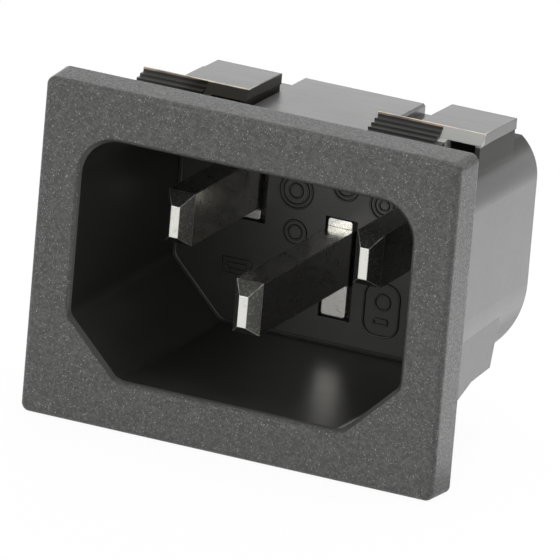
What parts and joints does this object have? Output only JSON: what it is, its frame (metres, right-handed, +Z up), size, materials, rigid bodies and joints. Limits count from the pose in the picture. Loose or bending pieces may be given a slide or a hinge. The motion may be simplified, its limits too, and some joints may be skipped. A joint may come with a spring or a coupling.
{
  "type": "c14 panel inlet socket",
  "caption": "Snap-in panel power inlet: a moulded housing with a cut-cornered mouth, flat flange and stepped latches, holding flat blades with rear slip-on tabs.",
  "frame": {"origin": "middle of the flange's rear face, where it seats on the front of the panel, in line with the middle of the mouth", "axes": "+X to the right and +Z up as the mouth is faced, +Y back into the equipment"},
  "size_m": [0.0308, 0.0274, 0.0238],
  "materials": {
    "housing_plastic": "black glass-filled nylon, fine grain on the flange and glossy in the mouth",
    "contact_metal": "bright nickel plate over brass"
  },
  "bodies": {
    "root": {"housing": "housing_plastic", "line_contact": "contact_metal", "neutral_contact": "contact_metal", "earth_contact": "contact_metal"}
  },
  "joints": []
}
